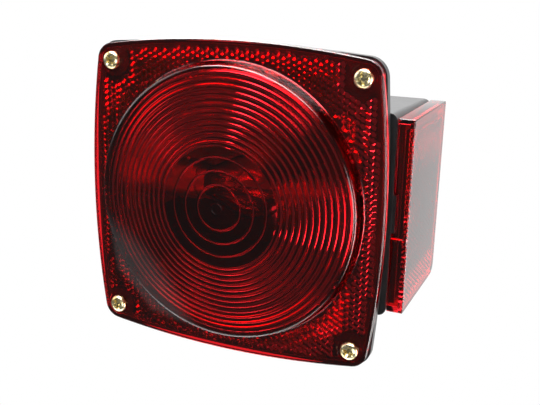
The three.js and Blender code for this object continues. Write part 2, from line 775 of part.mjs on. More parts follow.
// Two supports and the filament bar between them, as one bent wire.
function filament(bulb, foot, top, footHalf, topHalf, z) {
  const path = new THREE.CurvePath();
  const corners = [
    [foot, -footHalf], [top, -topHalf], [top + 0.9, -topHalf + 0.9],
    [top + 0.9, topHalf - 0.9], [top, topHalf], [foot, footHalf],
  ].map(([x, across]) => new THREE.Vector3(x, bulb.y + across, bulb.z + z));
  for (let i = 1; i < corners.length; i++) {
    path.add(new THREE.LineCurve3(corners[i - 1], corners[i]));
  }
  return wire(path, 0.3, 16, 5);
}

// The lead that feeds the marker bulb from the main socket's tail contact. Each end stops short of
// the floor of its sleeve, by the bulb's press.
function jumperLead() {
  const mainTail = MAIN_BULB.contacts[1];
  const leadEnd = (bulb) => sleeveFloor(bulb) - bulb.press - 0.3;
  const level = MAIN_BULB.z + mainTail.offset;
  const route = [
    [leadEnd(MAIN_BULB), MAIN_BULB.y, level],
    [MAIN_BULB.shellRear - 1.5, MAIN_BULB.y, level],
    [MAIN_BULB.shellRear - 4.2, MAIN_BULB.y + 2.5, level - 1.2],
    [MAIN_BULB.shellRear - 4.4, MAIN_BULB.y + 10, level - 6],
    [MAIN_BULB.shellRear - 2.5, MAIN_BULB.y + 20, level - 10.5],
    [-43, -6.5, -15],
    [-28, -5, -15.5],
    [-16, -5, -13.5],
    [-4, -5, -11.8],
    [7, -5.6, -12.5],
    [14, -10, -9.5],
    [16.5, -20, -1],
    [17.4, -28, 4],
    [MARKER_BULB.shellRear - 2.2, MARKER_BULB.y, MARKER_BULB.z],
    [leadEnd(MARKER_BULB), MARKER_BULB.y, MARKER_BULB.z],
  ].map(([x, y, z]) => new THREE.Vector3(x, y, z));
  return wire(new THREE.CatmullRomCurve3(route), 0.95, 48, 6);
}

// ---------------------------------------------------------------- assembly

part("housing", housing(), BLACK_PLASTIC);
part("main_lens", mainLens(), RED_LENS);
part("lens_gasket", gasket(), RUBBER);
for (const [x, z] of atScrews) {
  const place = `${z > 0 ? "top" : "bottom"}_${x > 0 ? "right" : "left"}`;
  part(`lens_screw_${place}`, lensScrew(x, z), YELLOW_ZINC);
}
part("side_marker_lens", sideLens(), RED_LENS);

for (const side of [-1, 1]) {
  const x = (side * STUD_SPACING) / 2;
  const place = side > 0 ? "right" : "left";
  part(`mounting_stud_${place}`, stud(x), BRIGHT_ZINC);
  part(`lock_washer_${place}`, lockWasher(x), BRIGHT_ZINC);
  part(`stud_nut_${place}`, hexNut(x), BRIGHT_ZINC);
}
part("wire_grommet", grommet(), RUBBER);
part("socket_chassis", chassis(), BRIGHT_ZINC);

for (const bulb of [MAIN_BULB, MARKER_BULB]) {
  part(`${bulb.name}_socket_shell`, socketShell(bulb), BRIGHT_ZINC);
  part(`${bulb.name}_contact_spring`, contactSpring(bulb), TUNGSTEN);
  part(`${bulb.name}_contact_disc`, contactDisc(bulb), PHENOLIC);
  part(`${bulb.name}_bulb_base`, bulbBase(bulb), BRASS);
  part(`${bulb.name}_bulb_insulator`, bulbInsulator(bulb), PHENOLIC);
  for (const contact of bulb.contacts) {
    part(`${bulb.name}_contact_${contact.name}`, contactRivet(bulb, contact), BRASS);
    part(`${bulb.name}_solder_dot_${contact.name}`, solderDot(bulb, contact), SOLDER);
  }
}
part("main_bulb_glass", envelope(MAIN_BULB, MAIN_GLASS, 0.8), CLEAR_GLASS);
part("main_bulb_stem", bulbStem(MAIN_BULB, -32, -10, 3.6), CLEAR_GLASS);
part("main_filament_stop", filament(MAIN_BULB, -9.8, 0, 1.6, 4.6, 1.1), TUNGSTEN);
part("main_filament_tail", filament(MAIN_BULB, -9.8, -3.4, 1.4, 3.8, -1.3), TUNGSTEN);
part("marker_bulb_glass", envelope(MARKER_BULB, MARKER_GLASS, 0.6), CLEAR_GLASS);
part("marker_bulb_stem", bulbStem(MARKER_BULB, 36, 45, 2), CLEAR_GLASS);
part("marker_filament", filament(MARKER_BULB, 45.2, 48.6, 0.9, 2.6, 0), TUNGSTEN);
part("tail_jumper_lead", jumperLead(), BROWN_WIRE);

export default assembly;
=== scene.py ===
"""Looks of a trailer tail light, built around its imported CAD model.

The frame is the CAD's: +Y into the vehicle, +X to the side marker lens, +Z up. Shapes are worked out
in millimetres and turned into metres when a mesh is made.
"""

import json
import math

import bmesh
import bpy
import numpy as np
from mathutils import Matrix, Vector
from mathutils.geometry import delaunay_2d_cdt


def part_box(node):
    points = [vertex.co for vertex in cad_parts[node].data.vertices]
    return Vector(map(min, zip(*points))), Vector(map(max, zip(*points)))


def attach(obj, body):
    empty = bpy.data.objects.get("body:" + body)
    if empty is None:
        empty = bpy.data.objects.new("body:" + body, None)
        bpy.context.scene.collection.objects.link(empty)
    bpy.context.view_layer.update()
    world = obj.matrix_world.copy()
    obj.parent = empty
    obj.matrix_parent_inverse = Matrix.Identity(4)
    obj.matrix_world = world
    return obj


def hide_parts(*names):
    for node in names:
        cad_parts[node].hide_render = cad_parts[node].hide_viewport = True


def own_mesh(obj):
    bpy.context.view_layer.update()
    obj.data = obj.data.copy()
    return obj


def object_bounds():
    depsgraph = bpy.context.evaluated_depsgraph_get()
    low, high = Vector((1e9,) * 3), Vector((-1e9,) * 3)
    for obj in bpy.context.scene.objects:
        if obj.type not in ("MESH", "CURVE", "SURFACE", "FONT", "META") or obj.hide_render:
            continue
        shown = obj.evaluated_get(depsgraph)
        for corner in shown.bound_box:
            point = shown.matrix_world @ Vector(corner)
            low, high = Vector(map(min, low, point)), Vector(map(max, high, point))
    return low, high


MM = 0.001

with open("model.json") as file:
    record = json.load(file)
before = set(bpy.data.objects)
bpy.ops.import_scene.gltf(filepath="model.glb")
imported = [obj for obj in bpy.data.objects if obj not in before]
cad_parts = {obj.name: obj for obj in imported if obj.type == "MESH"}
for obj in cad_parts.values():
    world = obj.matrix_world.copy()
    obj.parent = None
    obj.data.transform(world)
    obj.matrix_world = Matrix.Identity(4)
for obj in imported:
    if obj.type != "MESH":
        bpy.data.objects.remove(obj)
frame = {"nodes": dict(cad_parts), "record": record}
cad_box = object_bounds()


def box_mm(node):
    """A node's lowest and highest corners at rest, in millimetres."""
    low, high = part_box(node)
    return np.array(low) / MM, np.array(high) / MM


# ---------------------------------------------------------------- driving dimensions, as in the CAD

LENS_OUTLINE = (60.2, 350.0, 6.5)  # half width, bow radius of the sides, corner radius
LENS_FRONT = -60.1
LENS_BACK = -57.4
SKIRT_BACK = -56.5
SKIRT_WIDTH = 1.5
EDGE_ROUND = 0.5
FLAT_STRIP = 0.04  # flat strip kept inside a rounded edge, so that the face shades evenly

SCREW_PITCH_HALF = 50.0
SCREW_SEAT = -59.8
SCREW_RECESS_RADIUS = 4.7
SCREW_RECESS_LIP = 0.1
SCREW_HOLE_RADIUS = 2.1

DOME_RIM_RADIUS = 50.2
DOME_RIM_Y = -66.3
DOME_APEX_Y = -70.6
DOME_WALL = 2.6
ROUND_STEPS = 256
GATE_RING = (2.0, 0.4, 0.16)  # radius, width and depth of the mould's small mark at the centre

PRISM_SIDE = 1.33  # side of each hexagonal reflector prism
PRISM_RISE = 1 / math.sqrt(2)  # height step between a cube corner's levels, per side
PRISM_SINK = 0.04  # how far the prisms' tips stay below the face that they are cut into
REFLEX_INSET = 1.8
REFLEX_CIRCLE = 52.4
SCREW_PAD_RADIUS = 6.6

SIDE_FACE = 66.6
SIDE_RIM = 60.6
SIDE_NOTCH_RIM = 61.9
SIDE_NOTCH = (-5.8, 8.8)
SIDE_FRONT = -50.7
SIDE_BACK = -0.6
SIDE_HALF = 36.0
SIDE_WALL = 2.0
SIDE_FLOOR = 64.4
SIDE_ROUND = 0.5
SIDE_STRIP = 0.1  # the side lens's flat strip, as FLAT_STRIP
SIDE_CORNERS = (0.6, 5.0, 0.6, 0.6)  # front bottom, back bottom, back top and front top
SIDE_LEAST_CORNER = 0.2  # a corner's radius is never smaller, however far the outline is inset
SIDE_PRISM_SIDE = 1.1
SIDE_PRISM_MARGIN = 1.2
SIDE_PRISM_CUT = 3.0  # how far the prisms are cut back at the large corner
SIDE_RIB = (-10.0, -7.3)
SIDE_RIB_RISE = 0.9
SIDE_RIB_CHAMFER = 0.3
NOTCH_STEP = 0.03  # how far each end of the notch leans, from its rim to the lens's rim

SCREWS = {
    f"{level}_{side}": (x, z)
    for side, x in (("left", -SCREW_PITCH_HALF), ("right", SCREW_PITCH_HALF))
    for level, z in (("bottom", -SCREW_PITCH_HALF), ("top", SCREW_PITCH_HALF))
}


# ---------------------------------------------------------------- meshes


class Shell:
    """The points, in millimetres, and the faces of one closed mesh."""

    def __init__(self):
        self.points = []
        self.faces = []

    def loop(self, points):
        """Adds the points and returns their numbers."""
        start = len(self.points)
        self.points.extend(tuple(map(float, p)) for p in points)
        return list(range(start, len(self.points)))

    def strip(self, first, second):
        """Joins two loops of the same length by a band of faces."""
        for i in range(len(first)):
            j = (i + 1) % len(first)
            self.faces.append((first[i], first[j], second[j], second[i]))

    def strips(self, loops):
        """Joins each loop to the next."""
        for first, second in zip(loops, loops[1:]):
            self.strip(first, second)

    def fan(self, loop, tip):
        """Closes a loop with triangles to a tip."""
        centre = self.loop([tip])[0]
        for i in range(len(loop)):
            self.faces.append((loop[i], loop[(i + 1) % len(loop)], centre))

    def fill(self, loops, axes, keep):
        """Triangulates the flat region between loops, where keep(u, v) is true."""
        ids = [i for loop in loops for i in loop]
        flat = [Vector((self.points[i][axes[0]], self.points[i][axes[1]])) for i in ids]
        edges = []
        for loop in loops:
            start = len(edges)
            edges += [(start + k, start + (k + 1) % len(loop)) for k in range(len(loop))]
        made, _, faces, origin, _, _ = delaunay_2d_cdt(flat, edges, [], 0, 1e-7)
        for face in faces:
            centre = sum((made[v] for v in face), Vector((0, 0))) / len(face)
            if keep(centre.x, centre.y):
                self.faces.append(tuple(ids[origin[v][0]] for v in face))

    def build(self, name, sharp):
        """Turns the shell into an object, in metres."""
        mesh = bpy.data.meshes.new(name)
        mesh.from_pydata([tuple(MM * c for c in p) for p in self.points], [], self.faces)
        return finished(name, mesh, sharp)


def finished(name, mesh, sharp):
    """An object of the mesh, with its normals out, smooth except at edges sharper than sharp degrees."""
    work = bmesh.new()
    work.from_mesh(mesh)
    bmesh.ops.recalc_face_normals(work, faces=work.faces)
    work.to_mesh(mesh)
    work.free()
    mesh.polygons.foreach_set("use_smooth", [True] * len(mesh.polygons))
    mesh.set_sharp_from_angle(angle=math.radians(sharp))
    piece = bpy.data.objects.new(name, mesh)
    bpy.context.scene.collection.objects.link(piece)
    return piece


MERGE = 0.002  # points of a CAD node closer than this are one point
BEVEL_MERGE = 0.0002  # the same, among the small faces of a rounded edge
FLAT_ANGLE = 0.5  # faces within this angle, in degrees, are one flat face


def refined(node, width, segments=2, edge_angle=28):
    """A copy of a CAD node with its flat faces joined up and its edges rounded."""
    work = bmesh.new()
    work.from_mesh(frame["nodes"][node].data)
    bmesh.ops.remove_doubles(work, verts=work.verts, dist=MERGE * MM)
    bmesh.ops.dissolve_limit(
        work, angle_limit=math.radians(FLAT_ANGLE), verts=work.verts, edges=work.edges
    )
    corners = [
        e for e in work.edges
        if len(e.link_faces) == 2 and e.calc_face_angle(0) > math.radians(edge_angle)
    ]
    bmesh.ops.bevel(
        work, geom=corners, offset=width * MM, segments=segments, profile=0.5,
        affect="EDGES", clamp_overlap=True,
    )
    bmesh.ops.remove_doubles(work, verts=work.verts, dist=BEVEL_MERGE * MM)
    mesh = bpy.data.meshes.new(f"{node}_fine")
    work.to_mesh(mesh)
    work.free()
    piece = finished(f"{node}_fine", mesh, 40)
    keep_flats_flat(mesh)
    return piece


def keep_flats_flat(mesh):
    """Weights each corner's shading by the size of the faces there, so that only the rounds bend it."""
    total = np.zeros((len(mesh.vertices), 3))
    for face in mesh.polygons:
        total[list(face.vertices)] += np.array(face.normal) * face.area
    length = np.linalg.norm(total, axis=1)
    mesh.normals_split_custom_set_from_vertices(total / np.maximum(length, 1e-12)[:, None])


def lathe(name, profile, axis, centre, steps=64):
    """Revolves (radius, level) pairs about a line along axis. A closed profile ends where it starts."""
    shell = Shell()
    along = "xyz".index(axis)
    across = [i for i in range(3) if i != along]
    closed = profile[0] == profile[-1]
    angles = np.linspace(0, 2 * math.pi, steps, endpoint=False)

    def ring(radius, level):
        points = np.empty((steps, 3))
        points[:, along] = level
        points[:, across[0]] = centre[0] + radius * np.cos(angles)
        points[:, across[1]] = centre[1] + radius * np.sin(angles)
        return shell.loop(points)

    def tip(level):
        point = [0, 0, 0]
        point[along] = level
        point[across[0]], point[across[1]] = centre
        return point

    body = profile[:-1] if closed else profile[1:-1]
    rings = [ring(*p) for p in body]
    if closed:
        shell.strips(rings + rings[:1])
    else:
        shell.strips(rings)
        shell.fan(rings[0], tip(profile[0][1]))
        shell.fan(rings[-1], tip(profile[-1][1]))
    return shell.build(name, 50)


def rounded(profile, radius, steps=4):
    """The profile with each corner but its ends cut back by radius and turned into a curve."""
    points = [np.array(p, float) for p in profile]
    closed = profile[0] == profile[-1]
    if closed:
        points = points[:-1]
    out = []
    for i, point in enumerate(points):
        if not closed and i in (0, len(points) - 1):
            out.append(tuple(point))
            continue
        before = points[i - 1] - point
        after = points[(i + 1) % len(points)] - point
        reach = min(radius, 0.45 * np.linalg.norm(before), 0.45 * np.linalg.norm(after))
        start = point + before / np.linalg.norm(before) * reach
        end = point + after / np.linalg.norm(after) * reach
        for t in np.linspace(0, 1, steps + 1):
            out.append(tuple((1 - t) ** 2 * start + 2 * t * (1 - t) * point + t * t * end))
    return out + out[:1] if closed else out


def smooth_line(points, steps):
    """Catmull-Rom curve through the points."""
    p = [np.array(q, float) for q in points]
    p = [2 * p[0] - p[1]] + p + [2 * p[-1] - p[-2]]
    out = []
    for a, b, c, d in zip(p, p[1:], p[2:], p[3:]):
        for t in np.linspace(0, 1, steps, endpoint=False):
            out.append(
                0.5 * (2 * b + (c - a) * t + (2 * a - 5 * b + 4 * c - d) * t * t
                       + (3 * b - a - 3 * c + d) * t ** 3)
            )
    return out + [p[-2]]


def tube(name, points, radius, sides):
    """A capped round tube along the points, with its section carried along without twist."""
    path = np.array(points, float)
    shell = Shell()
    tangents = np.gradient(path, axis=0)
    tangents /= np.linalg.norm(tangents, axis=1)[:, None]
    normal = np.cross(tangents[0], [0.3, 0.5, 0.81])
    rings = []
    for point, tangent in zip(path, tangents):
        normal = normal - tangent * normal.dot(tangent)
        normal /= np.linalg.norm(normal)
        side = np.cross(tangent, normal)
        angles = np.linspace(0, 2 * math.pi, sides, endpoint=False)
        rings.append(shell.loop(
            point + radius * (math.cos(a) * normal + math.sin(a) * side) for a in angles
        ))
    shell.strips(rings)
    shell.fan(rings[0], path[0])
    shell.fan(rings[-1], path[-1])
    return shell.build(name, 60)


# ---------------------------------------------------------------- outlines and prisms


def outline(inset, bow_steps=24, corner_steps=12):
    """The bowed square of the lens, in X and Z, moved in by inset."""
    half, bow, corner = (v - inset for v in LENS_OUTLINE)
    back = bow - half
    reach = bow - corner
    q = (math.sqrt(2 * reach * reach - back * back) - back) / 2
    lean = math.atan2(q, q + back)
    points = []
    for side in range(4):
        facing = side * math.pi / 2
        c, s = round(math.cos(facing)), round(math.sin(facing))
        for a in np.linspace(facing - lean, facing + lean, bow_steps, endpoint=False):
            points.append((-back * c + bow * math.cos(a), -back * s + bow * math.sin(a)))
        centre = (q * c - q * s, q * s + q * c)
        for a in np.linspace(
            facing + lean, facing + math.pi / 2 - lean, corner_steps, endpoint=False
        ):
            points.append((centre[0] + corner * math.cos(a), centre[1] + corner * math.sin(a)))
    return np.array(points)


def inside(polygon, points):
    """Whether each point lies inside a convex, counterclockwise polygon."""
    edge = np.roll(polygon, -1, axis=0) - polygon
    away = points[:, None, :] - polygon[None, :, :]
    return np.all(edge[:, 0] * away[..., 1] - edge[:, 1] * away[..., 0] > 0, axis=1)


class PrismField:
    """Hexagonal cube-corner prisms, in flat-topped cells of the given side."""

    def __init__(self, side, reach, allowed):
        self.side = side
        self.step = (1.5 * side, math.sqrt(3) * side)
        columns = int(reach / self.step[0]) + 1
        rows = int(reach / self.step[1]) + 1
        self.cells = {
            (i, j)
            for i in range(-columns, columns + 1)
            for j in range(-rows, rows + 1)
            if allowed(self.corners(i, j))
        }

    def centre(self, i, j):
        """The middle of a cell; every other column is half a cell higher."""
        return np.array((self.step[0] * i, self.step[1] * (j + 0.5 * (i % 2))))

    def corners(self, i, j):
        """The six corners of a cell, counterclockwise."""
        angles = np.arange(6) * math.pi / 3
        spokes = np.stack([np.cos(angles), np.sin(angles)], axis=1)
        return self.centre(i, j) + self.side * spokes

    def covers(self, u, v):
        """Whether the point lies in one of the field's cells."""
        i0 = round(u / self.step[0])
        nearest = min(
            (
                (i, round(v / self.step[1] - 0.5 * (i % 2)))
                for i in (i0 - 1, i0, i0 + 1)
            ),
            key=lambda cell: np.hypot(*(self.centre(*cell) - (u, v))),
        )
        return nearest in self.cells

    def add(self, shell, at, plane, deep, toward):
        """Adds the prisms and the walls up to the plane, and returns the loops of their edges.

        at(u, v, level) gives the point. The prisms' lowest points are at the level deep, and
        toward is +1 or -1, the way the prisms point.
        """
        rise = PRISM_RISE * self.side * toward
        low, high = {}, {}  # each corner's point on the prisms and, on the field's edge, in the plane
        following = {}  # each corner on the field's edge, and the next one
        rims = {}  # the sides of the cells, from corner to corner

        def key(corner):
            return (round(corner[0], 4), round(corner[1], 4))

        for cell in self.cells:
            corners = self.corners(*cell)
            for k in range(6):
                name = key(corners[k])
                if name not in low:
                    low[name] = shell.loop([at(*corners[k], deep + rise * (k % 2 == 0))])[0]
                rims[(name, key(corners[(k + 1) % 6]))] = corners[k]
            apex = shell.loop([at(*self.centre(*cell), deep + 2 * rise)])[0]
            ring = [low[key(c)] for c in corners]
            for k in (0, 2, 4):
                shell.faces.append((apex, ring[k], ring[k + 1], ring[(k + 2) % 6]))
        for (start, end), corner in rims.items():
            if (end, start) not in rims:  # no neighbour has this side
                following[start] = end
                high[start] = shell.loop([at(*corner, plane)])[0]
        for start, end in following.items():
            shell.faces.append((low[start], low[end], high[end], high[start]))
        loops = []
        left = dict(following)
        while left:
            name, after = left.popitem()
            loop = [high[name]]
            while after in left:
                loop.append(high[after])
                after = left.pop(after)
            loops.append(loop)
        return loops


# ---------------------------------------------------------------- main lens


def dome_outside(r):
    """Y of the dome's outer cap at radius r."""
    rise = DOME_RIM_Y - DOME_APEX_Y
    sphere = (DOME_RIM_RADIUS ** 2 + rise ** 2) / (2 * rise)
    return DOME_APEX_Y + sphere - math.sqrt(sphere ** 2 - r * r)


def dome_profile():
    """The outside of the dome, from its foot on the plate to the centre."""
    mark, width, depth = GATE_RING
    shoulder = smooth_line(
        [(53.45, LENS_FRONT), (53.1, -60.4), (52.5, -62.4), (51.8, -65.1), (51.5, -65.8),
         (50.9, -66.15), (49.9, dome_outside(49.9)), (48.8, dome_outside(48.8))], 4)
    cap = [(r, dome_outside(r)) for r in np.linspace(47.4, 3.2, 24)]
    groove = [(r, dome_outside(r) + depth * math.exp(-((r - mark) / width) ** 2))
              for r in np.linspace(2.9, 0.6, 12)]
    return [tuple(p) for p in shoulder] + cap + groove


CENTRE_RINGS = (8.6, 13.8, 18.8)  # narrow ridges on the plain centre
RING_REACH = 2.6  # from a ridge out to the plain wall beyond it
FLUTE_START = 22.9
FLUTES = 12  # rounded rings, side by side, out to FLUTE_END
FLUTE_END = 49.4
FLUTE_DEPTH = 1.0
FLUTE_CROWN = 1.4  # 2 would be a parabola
RIDGE = ((-0.5, 0.0), (-0.3, 0.14), (-0.12, 0.34), (0.0, 0.4), (0.12, 0.34), (0.3, 0.14), (0.5, 0.0))


def flute_profile():
    """The inside of the dome, from the centre out to its foot."""
    points = [(r, dome_outside(r) + DOME_WALL) for r in (1.5, 3.0, 5.0, 7.0)]
    for ring in CENTRE_RINGS:
        points += [
            (ring + r, dome_outside(ring + r) + DOME_WALL + height) for r, height in RIDGE
        ]
        points.append((ring + RING_REACH, dome_outside(ring + RING_REACH) + DOME_WALL))
    pitch = (FLUTE_END - FLUTE_START) / FLUTES
    for k in range(FLUTES):
        for t in 0.5 - 0.5 * np.cos(np.linspace(0, math.pi, 13))[(0 if k == 0 else 1):]:
            r = FLUTE_START + pitch * (k + t)
            crown = 1 - abs(2 * t - 1) ** FLUTE_CROWN
            points.append((r, dome_outside(r) + DOME_WALL + FLUTE_DEPTH * crown))
    return points + [(49.9, -63.2), (50.2, -62.4), (50.5, -60.4), (50.8, LENS_BACK)]


def ring_at(r, y, steps=ROUND_STEPS, x=0.0, z=0.0):
    """A circle of points at Y, around a line along Y through x, z."""
    angles = np.linspace(0, 2 * math.pi, steps, endpoint=False)
    return [(x + r * math.cos(a), y, z + r * math.sin(a)) for a in angles]


def reflex_field():
    """The prisms between the dome and the border, clear of the screws."""
    border = outline(REFLEX_INSET)

    def allowed(corners):
        clear = all(
            np.all(np.hypot(corners[:, 0] - x, corners[:, 1] - z) > SCREW_PAD_RADIUS)
            for x, z in SCREWS.values()
        )
        beyond = np.all(np.hypot(corners[:, 0], corners[:, 1]) > REFLEX_CIRCLE)
        return clear and beyond and bool(np.all(inside(border, corners)))

    return PrismField(PRISM_SIDE, LENS_OUTLINE[0], allowed)


def main_lens():
    """A plate with a skirt and screw recesses, the dome, and prisms and flutes on its inside."""
    shell = Shell()

    def flat(points, y):
        return shell.loop([(x, y, z) for x, z in points])

    rim_out = flat(outline(0), SKIRT_BACK)
    edge = [rim_out]
    for t in np.linspace(0, math.pi / 2, 5):
        inset = EDGE_ROUND * (1 - math.cos(t))
        edge.append(flat(outline(inset), LENS_FRONT + EDGE_ROUND * (1 - math.sin(t))))
    edge.append(flat(outline(EDGE_ROUND + FLAT_STRIP), LENS_FRONT))
    shell.strips(edge)

    dome = [shell.loop(ring_at(*p)) for p in dome_profile()]
    shell.strips(dome)
    shell.fan(dome[-1], (0, dome_outside(0), 0))

    recesses, holes = [], []
    mouth = SCREW_RECESS_RADIUS + SCREW_RECESS_LIP
    for x, z in SCREWS.values():
        steps = [
            (mouth, LENS_FRONT),
            (SCREW_RECESS_RADIUS, LENS_FRONT + SCREW_RECESS_LIP),
            (SCREW_RECESS_RADIUS, SCREW_SEAT),
            (SCREW_HOLE_RADIUS, SCREW_SEAT),
            (SCREW_HOLE_RADIUS, LENS_BACK),
        ]
        rings = [shell.loop(ring_at(r, y, 40, x, z)) for r, y in steps]
        shell.strips(rings)
        recesses.append(rings[0])
        holes.append(rings[-1])

    def clear_of_screws(x, z, radius):
        return all(math.hypot(x - sx, z - sz) > radius for sx, sz in SCREWS.values())

    foot = dome_profile()[0][0]
    shell.fill(
        [edge[-1], dome[0], *recesses], (0, 2),
        lambda x, z: math.hypot(x, z) > foot and clear_of_screws(x, z, mouth),
    )

    rim_in = flat(outline(SKIRT_WIDTH), SKIRT_BACK)
    land = flat(outline(SKIRT_WIDTH), LENS_BACK)
    shell.strips([rim_out, rim_in, land])
    flutes = [shell.loop(ring_at(*p)) for p in flute_profile()]
    shell.strips(flutes)
    shell.fan(flutes[0], (0, dome_outside(0) + DOME_WALL, 0))
    field = reflex_field()
    depth = 2 * PRISM_RISE * PRISM_SIDE
    prism_edges = field.add(
        shell, lambda x, z, y: (x, y, z), LENS_BACK, LENS_BACK - PRISM_SINK - depth, 1)
    inner = flute_profile()[-1][0]
    shell.fill(
        [land, flutes[-1], *holes, *prism_edges], (0, 2),
        lambda x, z: math.hypot(x, z) > inner
        and clear_of_screws(x, z, SCREW_HOLE_RADIUS)
        and not field.covers(x, z),
    )
    return shell.build("main_lens_fine", 24)


# ---------------------------------------------------------------- side marker lens


def side_outline(inset):
    """The side lens's outline as (y, z, notched) rows, counterclockwise, with rounded corners."""
    front, back = SIDE_FRONT + inset, SIDE_BACK - inset
    half = SIDE_HALF - inset
    corners = [(front, -half), (back, -half), (back, half), (front, half)]
    notch = [(SIDE_NOTCH[0] - NOTCH_STEP, 0), (SIDE_NOTCH[0], 1), (SIDE_NOTCH[1], 1),
             (SIDE_NOTCH[1] + NOTCH_STEP, 0)]
    rows = []
    for k, ((y, z), radius) in enumerate(zip(corners, SIDE_CORNERS)):
        r = max(radius - inset, SIDE_LEAST_CORNER)
        cy = y + r if y == front else y - r
        cz = z + r if z < 0 else z - r
        start = math.pi + k * math.pi / 2
        for a in np.linspace(start, start + math.pi / 2, 7):
            rows.append((cy + r * math.cos(a), cz + r * math.sin(a), 0))
        if k == 1:
            rows += [(back, level, flag) for level, flag in notch]
        if k == 3:
            rows += [(front, level, flag) for level, flag in reversed(notch)]
            low, high = SIDE_RIB
            proud = front - SIDE_RIB_RISE
            rows += [(front, high, 0), (proud, high - SIDE_RIB_CHAMFER, 0),
                     (proud, low + SIDE_RIB_CHAMFER, 0), (front, low, 0)]
    return rows


def within_side(y, z, inset):
    """Whether a point in the hull of the side lens's outline is in the lens, not beside its rib."""
    return y > SIDE_FRONT + inset or SIDE_RIB[0] < z < SIDE_RIB[1]


def side_field():
    """The prisms inside the side lens, and the Y and Z of the field's middle."""
    border = np.array([(y, z) for y, z, _ in side_outline(SIDE_WALL + SIDE_PRISM_MARGIN)])
    low, high = border.min(axis=0), border.max(axis=0)
    middle = np.array(((SIDE_FRONT + SIDE_BACK) / 2, 0))

    def allowed(corners):
        points = corners + middle
        within = np.all((points > low) & (points < high))
        off_corner = points[:, 0] - points[:, 1] < high[0] - low[1] - SIDE_PRISM_CUT
        return bool(within and np.all(off_corner))

    return PrismField(SIDE_PRISM_SIDE, SIDE_HALF, allowed), middle


def side_lens():
    """A box-shaped cover, open to the housing, with a notch, a rib and prisms on its inside."""
    shell = Shell()

    def rim(inset):
        return shell.loop([
            (SIDE_NOTCH_RIM if flag else SIDE_RIM, y, z) for y, z, flag in side_outline(inset)
        ])

    def level(inset, x):
        return shell.loop([(x, y, z) for y, z, _ in side_outline(inset)])

    outside = [rim(0)]
    for t in np.linspace(0, math.pi / 2, 5):
        inset = SIDE_ROUND * (1 - math.cos(t))
        outside.append(level(inset, SIDE_FACE - SIDE_ROUND * (1 - math.sin(t))))
    face_inset = SIDE_ROUND + SIDE_STRIP
    outside.append(level(face_inset, SIDE_FACE))
    shell.strips(outside)
    shell.fill([outside[-1]], (1, 2), lambda y, z: within_side(y, z, face_inset))
    inside_rim = rim(SIDE_WALL)
    floor = level(SIDE_WALL, SIDE_FLOOR)
    shell.strips([outside[0], inside_rim, floor])
    field, middle = side_field()
    depth = 2 * PRISM_RISE * SIDE_PRISM_SIDE
    edges = field.add(
        shell, lambda y, z, x: (x, y + middle[0], z + middle[1]),
        SIDE_FLOOR, SIDE_FLOOR + PRISM_SINK + depth, -1)
    shell.fill(
        [floor, *edges], (1, 2),
        lambda y, z: within_side(y, z, SIDE_WALL)
        and not field.covers(y - middle[0], z - middle[1]),
    )
    return shell.build("side_marker_lens_fine", 24)


# ---------------------------------------------------------------- screws and studs

THREAD_PITCH = 1.27
SCREW_HEAD_RADIUS = 3.5
SCREW_SHANK_RADIUS = 1.75
SCREW_THREAD_DEPTH = 0.42
SCREW_STEPS = 96
CROSS_ARM, CROSS_HALF_WIDTH, CROSS_DEPTH = 2.2, 0.5, 1.4
STUD_RADIUS = 3.1
STUD_THREAD_DEPTH = 0.5
STUD_HEAD_DEPTH = 2.4
STUD_STEPS = 40


def thread_radius(radius, depth, angle, y):
    """The radius of a V thread at an angle and a height."""
    turn = (y / THREAD_PITCH - angle / (2 * math.pi)) % 1.0
    return radius - depth * abs(2 * turn - 1)


def threaded(shell, radius, depth, start, end, x, z, steps):
    """Rings of a thread about a line along Y from start to end, fading out at both ends."""
    rings = []
    count = max(int(abs(end - start) / THREAD_PITCH * 8), 4)
    for y in np.linspace(start, end, count):
        fade = min(1.0, abs(y - start) / THREAD_PITCH, abs(end - y) / THREAD_PITCH)
        points = []
        for a in np.linspace(0, 2 * math.pi, steps, endpoint=False):
            r = thread_radius(radius, depth, a, y) * fade
            r += (radius - depth) * (1 - fade)
            points.append((x + r * math.cos(a), y, z + r * math.sin(a)))
        rings.append(shell.loop(points))
    return rings


def recess_depth(u, v):
    """How deep the cross recess is at u, v from the screw's axis."""
    nearest = min(abs(u), abs(v))
    furthest = max(abs(u), abs(v))
    taper = max(0.0, 1 - furthest / CROSS_ARM)
    wall = min(max((CROSS_HALF_WIDTH + 0.25 * taper - nearest) / 0.22, 0.0), 1.0)
    return wall * CROSS_DEPTH * min(1.0, taper * 2.2)


